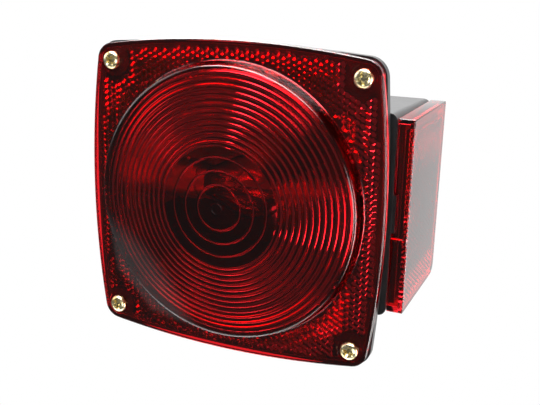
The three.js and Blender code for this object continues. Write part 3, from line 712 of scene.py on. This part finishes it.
def lens_screw(corner):
    """A pan-head screw, with the cross recess pressed into its head and a thread on its shank."""
    x, z = SCREWS[corner]
    node = f"lens_screw_{corner}"
    low, high = box_mm(node)
    top, tip = low[1], high[1]
    seat = SCREW_SEAT - 0.1
    radius, shank = SCREW_HEAD_RADIUS, SCREW_SHANK_RADIUS
    head = rounded(
        [(0, top), (2.1, top + 0.12), (3.1, top + 0.62), (radius, top + 1.5), (radius, seat)], 0.5)
    crown_r, crown_y = zip(*(p for p in head if p[0] < radius - 0.001))
    turn = 0.35 + 0.9 * (x > 0) + 0.5 * (z > 0)  # no two screws stop at the same turn
    shell = Shell()
    rings = []
    for r in np.linspace(0.12, radius, 40):
        level = float(np.interp(r, crown_r, crown_y))
        points = []
        for a in np.linspace(0, 2 * math.pi, SCREW_STEPS, endpoint=False):
            depth = recess_depth(r * math.cos(a - turn), r * math.sin(a - turn))
            points.append((x + r * math.cos(a), level + depth, z + r * math.sin(a)))
        rings.append(shell.loop(points))
    shell.fan(rings[0], (x, top + recess_depth(0, 0), z))
    for r, y in ((radius, top + 1.55), (radius, seat - 0.1), (radius - 0.1, seat), (shank, seat)):
        rings.append(shell.loop(ring_at(r, y, SCREW_STEPS, x, z)))
    rings += threaded(
        shell, shank, SCREW_THREAD_DEPTH, seat + 0.05, tip - 1.2, x, z, SCREW_STEPS)
    rings.append(shell.loop(ring_at(0.5, tip - 0.2, SCREW_STEPS, x, z)))
    shell.strips(rings)
    shell.fan(rings[-1], (x, tip, z))
    return shell.build(f"{node}_fine", 30)


def mounting_stud(side):
    """A round-headed stud, plain through the housing's wall and threaded behind it."""
    node = f"mounting_stud_{side}"
    low, high = box_mm(node)
    x, z = (low[0] + high[0]) / 2, (low[2] + high[2]) / 2
    head = (high[0] - low[0]) / 2
    seat = low[1] + STUD_HEAD_DEPTH
    profile = [
        (head - 1.6, low[1]), (head - 0.6, low[1] + 0.35), (head, low[1] + 1.1), (head, seat - 0.2),
        (head - 0.2, seat), (STUD_RADIUS, seat), (STUD_RADIUS, 1.0),
    ]
    shell = Shell()
    rings = [shell.loop(ring_at(r, y, STUD_STEPS, x, z)) for r, y in profile]
    shell.fan(rings[0], (x, low[1], z))
    rings += threaded(
        shell, STUD_RADIUS, STUD_THREAD_DEPTH, 1.2, high[1] - 0.8, x, z, STUD_STEPS)
    rings.append(shell.loop(ring_at(STUD_RADIUS - 0.8, high[1], STUD_STEPS, x, z)))
    shell.strips(rings)
    shell.fan(rings[-1], (x, high[1], z))
    return shell.build(f"{node}_fine", 30)


# ---------------------------------------------------------------- bulbs, springs and lead

SPRING_TURNS = 2.5
FILAMENT_WIRE = 0.11
FILAMENT_COIL = 0.3
FILAMENT_TURNS = 22
LEAD_RADIUS = 0.93

# radius and X of the outside of each bulb's glass, from its tip to its base
MAIN_GLASS = [
    (0, 12.2), (4, 11.7), (8, 9.8), (11.4, 6), (13.1, 1.2), (13.1, -3.5),
    (11.6, -9.5), (9, -15), (7, -19.4), (6.5, -21.5), (6.5, -24),
]
MARKER_GLASS = [
    (0, 56), (3, 55.4), (5.6, 53.4), (7.1, 49.6), (6.6, 45.8), (4.9, 42.8), (3.7, 41.4), (3.7, 39.5),
]


def glass_envelope(name, outer, wall, centre):
    """A blown envelope of even wall, open at its base."""
    skin = [(max(p[0], 0.0), p[1]) for p in smooth_line(outer, 5)]
    skin[0] = (0.0, outer[0][1])
    core = []
    for i, (r, x) in enumerate(skin[1:], 1):
        before, after = np.array(skin[i - 1]), np.array(skin[min(i + 1, len(skin) - 1)])
        way = (after - before) / np.linalg.norm(after - before)
        core.append((max(r + wall * way[1], 0.15), x - wall * way[0]))
    core[-1] = (core[-1][0], skin[-1][1])
    profile = skin + core[::-1] + [(0.0, outer[0][1] - wall)]
    return lathe(name, profile, "x", centre)


def helix(x0, x1, radius, turns, centre, per_turn=24):
    """Points of a helix along X from x0 to x1, around the centre's Y and Z."""
    steps = int(turns * per_turn)
    points = []
    for i in range(steps + 1):
        t = i / steps
        a = 2 * math.pi * turns * t
        points.append(
            (x0 + (x1 - x0) * t, centre[0] + radius * math.cos(a), centre[1] + radius * math.sin(a)))
    return points


def contact_spring(kind, wire, centre):
    """The spring with its node's name, the place of its fixed end in metres, and its length."""
    node = f"{kind}_contact_spring"
    low, high = box_mm(node)
    radius = (high[2] - low[2]) / 2 - wire
    ends = (low[0] + wire, high[0] - wire)
    piece = tube(f"{node}_fine", helix(*ends, radius, SPRING_TURNS, centre), wire, 10)
    return piece, node, (low[0] * MM, centre[0] * MM, centre[1] * MM), high[0] - low[0]


def filament(node, foot_half, top_half, centre, z):
    """Two bent supports and the coiled filament between them."""
    low, high = box_mm(node)
    foot, top = low[0], high[0] - 0.3
    y = centre[0]
    level = centre[1] + z
    coil = helix(0, 2 * top_half - 1.2, FILAMENT_COIL, FILAMENT_TURNS, (0, 0), 10)
    points = [(foot, y - foot_half, level), (top - 1.6, y - top_half, level),
              (top - 0.4, y - top_half + 0.1, level)]
    points += [(top + b, y - top_half + 0.6 + a, level + c) for a, b, c in coil]
    points += [(top - 0.4, y + top_half - 0.1, level), (top - 1.6, y + top_half, level),
               (foot, y + foot_half, level)]
    return tube(f"{node}_fine", points, FILAMENT_WIRE, 6)


def jumper_lead():
    """The lead follows the CAD's route, and is straight where the contacts' sleeves slide over it."""
    route = [
        (-45.6, -32, -3.3), (-48, -32, -3.3), (-49.5, -32, -3.3), (-52.2, -29.5, -4.5),
        (-52.4, -22, -9.3), (-50.5, -12, -13.8), (-43, -6.5, -15), (-28, -5, -15.5), (-16, -5, -13.5),
        (-4, -5, -11.8), (7, -5.6, -12.5), (14, -10, -9.5), (16.5, -20, -1),
        (17.4, -28, 4), (20.3, -32, 6), (23, -32, 6), (25.4, -32, 6),
    ]
    return tube("tail_jumper_lead_fine", smooth_line(route, 10), LEAD_RADIUS, 16)


# ---------------------------------------------------------------- materials


class Nodes:
    """Short calls for building a material's node tree."""

    def __init__(self, name):
        self.material = bpy.data.materials.new(name)
        self.material.use_nodes = True
        self.tree = self.material.node_tree
        self.shader = self.tree.nodes["Principled BSDF"]
        self.output = self.tree.nodes["Material Output"]
        self.where = self.tree.nodes.new("ShaderNodeTexCoord").outputs["Object"]

    def set(self, **values):
        """Sets the shader's own sockets; an underscore stands for a space."""
        for name, value in values.items():
            self.shader.inputs[name.replace("_", " ")].default_value = value
        return self

    def link(self, source, target):
        self.tree.links.new(source, target)

    def noise(self, scale, detail=3.0, roughness=0.5, stretch=(1, 1, 1)):
        """Noise with about scale features to the metre."""
        mapping = self.tree.nodes.new("ShaderNodeMapping")
        mapping.inputs["Scale"].default_value = stretch
        self.link(self.where, mapping.inputs["Vector"])
        noise = self.tree.nodes.new("ShaderNodeTexNoise")
        noise.inputs["Scale"].default_value = scale
        noise.inputs["Detail"].default_value = detail
        noise.inputs["Roughness"].default_value = roughness
        self.link(mapping.outputs["Vector"], noise.inputs["Vector"])
        return noise.outputs["Fac"]

    def ramp(self, source, stops):
        """Colours along the source, from (position, colour) stops."""
        ramp = self.tree.nodes.new("ShaderNodeValToRGB")
        elements = ramp.color_ramp.elements
        while len(elements) < len(stops):
            elements.new(0.5)
        for element, (position, color) in zip(elements, stops):
            element.position = position
            element.color = (*color, 1)
        self.link(source, ramp.inputs["Fac"])
        return ramp.outputs["Color"]

    def spread(self, source, low, high):
        """Stretches the middle of a noise's range to low..high."""
        spread = self.tree.nodes.new("ShaderNodeMapRange")
        spread.inputs["From Min"].default_value = 0.3
        spread.inputs["From Max"].default_value = 0.7
        spread.inputs["To Min"].default_value = low
        spread.inputs["To Max"].default_value = high
        self.link(source, spread.inputs["Value"])
        return spread.outputs["Result"]

    def bump(self, source, strength, distance):
        """Raises the surface by the source; the distance is in millimetres."""
        bump = self.tree.nodes.new("ShaderNodeBump")
        bump.inputs["Strength"].default_value = strength
        bump.inputs["Distance"].default_value = distance * MM
        self.link(source, bump.inputs["Height"])
        self.link(bump.outputs["Normal"], self.shader.inputs["Normal"])
        return self

    def clear_shadows(self, color):
        """Lets light through to what is behind, tinted, instead of casting a full shadow."""
        through = self.tree.nodes.new("ShaderNodeBsdfTransparent")
        through.inputs["Color"].default_value = color
        path = self.tree.nodes.new("ShaderNodeLightPath")
        mix = self.tree.nodes.new("ShaderNodeMixShader")
        self.link(path.outputs["Is Shadow Ray"], mix.inputs["Fac"])
        self.link(self.shader.outputs["BSDF"], mix.inputs[1])
        self.link(through.outputs["BSDF"], mix.inputs[2])
        self.link(mix.outputs["Shader"], self.output.inputs["Surface"])
        return self


def red_acrylic():
    nodes = Nodes("red_acrylic")
    nodes.set(Transmission_Weight=1.0, IOR=1.49)
    tone = nodes.ramp(
        nodes.noise(12, 2), [(0.3, (0.68, 0.007, 0.012)), (0.7, (0.80, 0.012, 0.020))])
    nodes.link(tone, nodes.shader.inputs["Base Color"])
    nodes.link(nodes.spread(nodes.noise(90, 4), 0.015, 0.05), nodes.shader.inputs["Roughness"])
    nodes.bump(nodes.noise(45, 2), 0.04, 0.2)
    return nodes.clear_shadows((0.8, 0.02, 0.03, 1)).material


def black_plastic():
    nodes = Nodes("black_plastic")
    tone = nodes.ramp(
        nodes.noise(30, 4), [(0.3, (0.004, 0.004, 0.0045)), (0.7, (0.008, 0.008, 0.0085))])
    nodes.link(tone, nodes.shader.inputs["Base Color"])
    nodes.link(nodes.spread(nodes.noise(60, 3), 0.3, 0.44), nodes.shader.inputs["Roughness"])
    nodes.bump(nodes.noise(1500, 3, 0.6), 0.25, 0.05)
    return nodes.material


def rubber():
    nodes = Nodes("rubber")
    tone = nodes.ramp(
        nodes.noise(40, 4), [(0.3, (0.012, 0.012, 0.012)), (0.7, (0.028, 0.027, 0.026))])
    nodes.link(tone, nodes.shader.inputs["Base Color"])
    nodes.link(nodes.spread(nodes.noise(120, 3), 0.65, 0.85), nodes.shader.inputs["Roughness"])
    nodes.bump(nodes.noise(900, 3), 0.3, 0.08)
    return nodes.material


def plated(name, stops, roughness, grain_scale):
    """Plated or drawn metal, with patches of tone and fine scratches."""
    nodes = Nodes(name)
    nodes.set(Metallic=1.0)
    nodes.link(nodes.ramp(nodes.noise(260, 4, 0.6), stops), nodes.shader.inputs["Base Color"])
    nodes.link(
        nodes.spread(nodes.noise(400, 5, 0.6), *roughness), nodes.shader.inputs["Roughness"])
    nodes.bump(nodes.noise(grain_scale, 4, 0.6, (1, 6, 1)), 0.15, 0.03)
    return nodes.material


def phenolic():
    nodes = Nodes("phenolic")
    tone = nodes.ramp(
        nodes.noise(700, 5, 0.7), [(0.3, (0.05, 0.02, 0.009)), (0.7, (0.14, 0.06, 0.026))])
    nodes.link(tone, nodes.shader.inputs["Base Color"])
    nodes.link(nodes.spread(nodes.noise(300, 3), 0.5, 0.7), nodes.shader.inputs["Roughness"])
    nodes.bump(nodes.noise(1200, 3), 0.2, 0.05)
    return nodes.material


def clear_glass():
    nodes = Nodes("clear_glass")
    nodes.set(Transmission_Weight=1.0, IOR=1.5, Base_Color=(0.98, 0.99, 0.985, 1))
    nodes.link(nodes.spread(nodes.noise(60, 2), 0.0, 0.03), nodes.shader.inputs["Roughness"])
    return nodes.clear_shadows((0.96, 0.97, 0.965, 1)).material


def wire_cover():
    nodes = Nodes("wire_cover")
    tone = nodes.ramp(
        nodes.noise(80, 3), [(0.3, (0.05, 0.018, 0.007)), (0.7, (0.09, 0.034, 0.014))])
    nodes.link(tone, nodes.shader.inputs["Base Color"])
    nodes.link(nodes.spread(nodes.noise(200, 3), 0.3, 0.45), nodes.shader.inputs["Roughness"])
    nodes.bump(nodes.noise(500, 2), 0.1, 0.05)
    return nodes.material


MATERIALS = {
    "red_lens": red_acrylic(),
    "black_housing": black_plastic(),
    "black_rubber": rubber(),
    "yellow_zinc": plated(
        "yellow_zinc",
        [(0.25, (0.52, 0.36, 0.10)), (0.5, (0.74, 0.64, 0.36)), (0.75, (0.78, 0.74, 0.55))],
        (0.18, 0.34), 900),
    "bright_zinc": plated(
        "bright_zinc", [(0.3, (0.30, 0.31, 0.33)), (0.7, (0.44, 0.46, 0.48))], (0.3, 0.45), 700),
    "spring_steel": plated(
        "spring_steel", [(0.3, (0.30, 0.31, 0.32)), (0.7, (0.46, 0.47, 0.48))], (0.25, 0.4), 900),
    "phenolic": phenolic(),
    "brass": plated(
        "brass", [(0.3, (0.26, 0.17, 0.05)), (0.7, (0.42, 0.29, 0.10))], (0.25, 0.4), 800),
    "solder": plated(
        "solder", [(0.3, (0.42, 0.43, 0.44)), (0.7, (0.58, 0.59, 0.60))], (0.25, 0.45), 1200),
    "clear_glass": clear_glass(),
    "tungsten": plated(
        "tungsten", [(0.3, (0.20, 0.20, 0.21)), (0.7, (0.36, 0.36, 0.37))], (0.3, 0.5), 1500),
    "brown_wire": wire_cover(),
}
SLOT_OF = {s["node"]: s["material_slot"] for s in frame["record"]["subparts"]}


# ---------------------------------------------------------------- pieces

HOUSING_ROUND = 0.45  # radius of the rounded edges, by kind of piece
CHASSIS_ROUND = 0.2
NUT_ROUND = 0.15
SMALL_ROUND = 0.12
CONTACT_ROUND = 0.08
TURNED_EDGE = 50  # on turned pieces, only edges sharper than this are rounded, in degrees


def stand_for(piece, node):
    """Lets the piece stand for a CAD node, on that node's body and in its material slot."""
    bodies = frame["record"]["behaviour"]["bodies"]
    body = next(name for name, nodes in bodies.items() if node in nodes)
    piece.data.materials.clear()
    piece.data.materials.append(MATERIALS[SLOT_OF[node]])
    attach(piece, body)
    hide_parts(node)


def make_pieces():
    stand_for(main_lens(), "main_lens")
    stand_for(side_lens(), "side_marker_lens")
    for name in SCREWS:
        stand_for(lens_screw(name), f"lens_screw_{name}")
    for side in ("left", "right"):
        stand_for(mounting_stud(side), f"mounting_stud_{side}")
        for kind in ("stud_nut", "lock_washer"):
            stand_for(refined(f"{kind}_{side}", NUT_ROUND), f"{kind}_{side}")
    stand_for(refined("housing", HOUSING_ROUND, 3), "housing")
    stand_for(refined("socket_chassis", CHASSIS_ROUND), "socket_chassis")
    stand_for(refined("lens_gasket", SMALL_ROUND, 1), "lens_gasket")
    stand_for(grommet(), "wire_grommet")
    bulbs()
    stand_for(jumper_lead(), "tail_jumper_lead")


GROMMET_BORE = 3.3
GROMMET_NECK = 6.0
GROMMET_STEP = -3.1  # Y of the rim's back face, just off the housing's wall


def grommet():
    """A rubber ring with a wide rim inside the housing and a neck through its wall."""
    low, high = box_mm("wire_grommet")
    centre = ((low[0] + high[0]) / 2, (low[2] + high[2]) / 2)
    rim = (high[0] - low[0]) / 2
    profile = [
        (GROMMET_BORE, low[1]), (rim - 1, low[1]), (rim, low[1] + 0.8), (rim, GROMMET_STEP),
        (GROMMET_NECK, GROMMET_STEP), (GROMMET_NECK, high[1]), (GROMMET_BORE, high[1]),
        (GROMMET_BORE, low[1]),
    ]
    return lathe("wire_grommet_fine", rounded(profile, 0.5), "y", centre)


BULBS = {  # Y and Z of the axis, radius of the spring's wire, and the contacts at the base
    "main": {"centre": (-32.0, 0.0), "wire": 0.45, "contacts": ("stop", "tail")},
    "marker": {"centre": (-32.0, 6.0), "wire": 0.3, "contacts": ("tail",)},
}


def bulbs():
    """Each bulb with its socket, contacts and contact spring."""
    for kind, bulb in BULBS.items():
        spring, node, anchor, length = contact_spring(kind, bulb["wire"], bulb["centre"])
        stand_for(spring, node)
        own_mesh(spring)
        for piece in ("socket_shell", "contact_disc", "bulb_base", "bulb_insulator", "bulb_stem"):
            name = f"{kind}_{piece}"
            stand_for(refined(name, SMALL_ROUND, 2, TURNED_EDGE), name)
        for contact in bulb["contacts"]:
            for piece in ("contact", "solder_dot"):
                name = f"{kind}_{piece}_{contact}"
                stand_for(refined(name, CONTACT_ROUND, 2, TURNED_EDGE), name)
    main, marker = BULBS["main"]["centre"], BULBS["marker"]["centre"]
    stand_for(glass_envelope("main_bulb_glass_fine", MAIN_GLASS, 0.7, main), "main_bulb_glass")
    stand_for(
        glass_envelope("marker_bulb_glass_fine", MARKER_GLASS, 0.5, marker), "marker_bulb_glass")
    stand_for(filament("main_filament_stop", 1.6, 4.6, main, 1.1), "main_filament_stop")
    stand_for(filament("main_filament_tail", 1.4, 3.8, main, -1.3), "main_filament_tail")
    stand_for(filament("marker_filament", 0.9, 2.6, marker, 0), "marker_filament")


# ---------------------------------------------------------------- camera, floor and light

CAMERA = {
    "place": (129.39, -324.63, 83.83),  # millimetres
    "azimuth": 23.04,  # degrees, from -Y towards +X
    "elevation": 15.82,
    "roll": 1.379,
    "lens": 54.32,
    "sensor": 36.0,
}
FLOOR_HALF = 3.0  # metres


def make_camera():
    azimuth, elevation, roll = (math.radians(CAMERA[k]) for k in ("azimuth", "elevation", "roll"))
    back = Vector((
        math.sin(azimuth) * math.cos(elevation),
        -math.cos(azimuth) * math.cos(elevation),
        math.sin(elevation),
    ))
    level = Vector((0, 0, 1)).cross(back).normalized()
    upright = back.cross(level)
    right = level * math.cos(roll) + upright * math.sin(roll)
    up = back.cross(right)
    data = bpy.data.cameras.new("camera")
    data.lens = CAMERA["lens"]
    data.sensor_width = CAMERA["sensor"]
    data.clip_start = 0.01
    camera = bpy.data.objects.new("camera", data)
    turn = Matrix((right, up, back)).transposed().to_4x4()
    camera.matrix_world = Matrix.Translation(Vector(CAMERA["place"]) * MM) @ turn
    bpy.context.scene.collection.objects.link(camera)
    bpy.context.scene.camera = camera


def make_floor():
    """A plane just under the light, white to the camera and clear to everything else."""
    height = cad_box[0][2] - 1 * MM
    mesh = bpy.data.meshes.new("floor")
    corners = [(-1, -1), (1, -1), (1, 1), (-1, 1)]
    mesh.from_pydata([(FLOOR_HALF * x, FLOOR_HALF * y, height) for x, y in corners], [], [(0, 1, 2, 3)])
    floor = bpy.data.objects.new("floor", mesh)
    bpy.context.scene.collection.objects.link(floor)
    material = bpy.data.materials.new("floor")
    material.use_nodes = True
    tree = material.node_tree
    tree.nodes.remove(tree.nodes["Principled BSDF"])
    glow = tree.nodes.new("ShaderNodeEmission")
    clear = tree.nodes.new("ShaderNodeBsdfTransparent")
    path = tree.nodes.new("ShaderNodeLightPath")
    mix = tree.nodes.new("ShaderNodeMixShader")
    tree.links.new(path.outputs["Is Camera Ray"], mix.inputs["Fac"])
    tree.links.new(clear.outputs["BSDF"], mix.inputs[1])
    tree.links.new(glow.outputs["Emission"], mix.inputs[2])
    tree.links.new(mix.outputs["Shader"], tree.nodes["Material Output"].inputs["Surface"])
    mesh.materials.append(material)


ROOM_LIGHT = 0.12  # from every direction
SOFT_LIGHTS = [  # azimuth, elevation, half angle of the full part, half angle at its edge, strength
    (185, -5, 28, 60, 0.95),
    (200, 86, 30, 46, 12.0),
    (-157, 62, 15, 35, 7.0),
    (-130, 24, 12, 36, 3.0),
    (27, -10, 7, 17, 7.0),
    (105, -20, 12, 34, 10.0),
    (-75, 20, 10, 26, 3.0),
    (-67, -60, 12, 26, 3.2),
    (-62, -36, 13, 19, 0.5),
    (0, -88, 15, 33, 3.0),
]


def soft_light(tree, direction, azimuth, elevation, full, edge, strength):
    """The brightness of one round soft light, by direction."""
    azimuth, elevation = math.radians(azimuth), math.radians(elevation)
    aim = tree.nodes.new("ShaderNodeVectorMath")
    aim.operation = "DOT_PRODUCT"
    aim.inputs[1].default_value = (
        math.sin(azimuth) * math.cos(elevation),
        -math.cos(azimuth) * math.cos(elevation),
        math.sin(elevation),
    )
    tree.links.new(direction, aim.inputs[0])
    fade = tree.nodes.new("ShaderNodeMapRange")
    fade.interpolation_type = "SMOOTHSTEP"
    fade.inputs["From Min"].default_value = math.cos(math.radians(edge))
    fade.inputs["From Max"].default_value = math.cos(math.radians(full))
    fade.inputs["To Max"].default_value = strength
    tree.links.new(aim.outputs["Value"], fade.inputs["Value"])
    return fade.outputs["Result"]


def make_world():
    """White to the camera, and to everything else a dim room with round soft lights in it."""
    world = bpy.data.worlds.new("studio")
    world.use_nodes = True
    tree = world.node_tree
    backdrop = tree.nodes["Background"]
    backdrop.inputs["Color"].default_value = (1, 1, 1, 1)
    room = tree.nodes.new("ShaderNodeBackground")
    direction = tree.nodes.new("ShaderNodeTexCoord").outputs["Generated"]
    total = None
    for light in SOFT_LIGHTS:
        level = soft_light(tree, direction, *light)
        add = tree.nodes.new("ShaderNodeMath")
        add.inputs[1].default_value = ROOM_LIGHT
        if total is not None:
            tree.links.new(total, add.inputs[1])
        tree.links.new(level, add.inputs[0])
        total = add.outputs["Value"]
    tree.links.new(total, room.inputs["Strength"])
    room.inputs["Color"].default_value = (1, 1, 1, 1)
    path = tree.nodes.new("ShaderNodeLightPath")
    mix = tree.nodes.new("ShaderNodeMixShader")
    tree.links.new(path.outputs["Is Camera Ray"], mix.inputs["Fac"])
    tree.links.new(room.outputs["Background"], mix.inputs[1])
    tree.links.new(backdrop.outputs["Background"], mix.inputs[2])
    tree.links.new(mix.outputs["Shader"], tree.nodes["World Output"].inputs["Surface"])
    bpy.context.scene.world = world


make_camera()
make_floor()
make_world()
bpy.context.scene.view_settings.view_transform = "Standard"
make_pieces()
